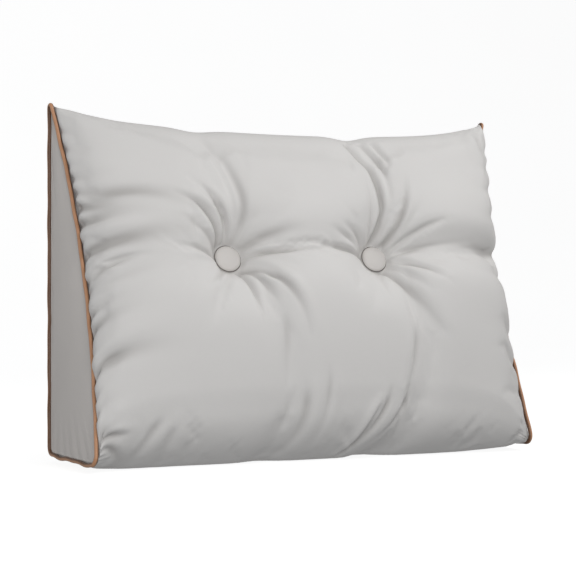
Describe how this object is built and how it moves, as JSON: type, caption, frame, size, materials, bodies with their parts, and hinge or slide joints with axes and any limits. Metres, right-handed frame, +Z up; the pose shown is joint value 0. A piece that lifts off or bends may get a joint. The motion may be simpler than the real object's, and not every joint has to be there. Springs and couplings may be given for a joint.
{
  "type": "wedge backrest pillow",
  "caption": "Upright wedge backrest pillow with a filled wrap cover, triangular end panels, corded seams and a button-tufted leaning front.",
  "frame": {"origin": "on the ground, under the middle of the pillow's box", "axes": "+X along the width, -Y towards the tufted front, +Z up"},
  "size_m": [0.7062, 0.2014, 0.5028],
  "materials": {
    "cover": "smooth brushed cloth with a soft sheen",
    "panel": "smooth brushed cloth with a soft sheen",
    "piping": "copper brown satin bias tape",
    "button": "cloth covered"
  },
  "bodies": {
    "root": {"cover": "cover", "end_panel_left": "panel", "end_panel_right": "panel", "piping_left": "piping", "piping_right": "piping", "button_left": "button", "button_right": "button"}
  },
  "joints": []
}
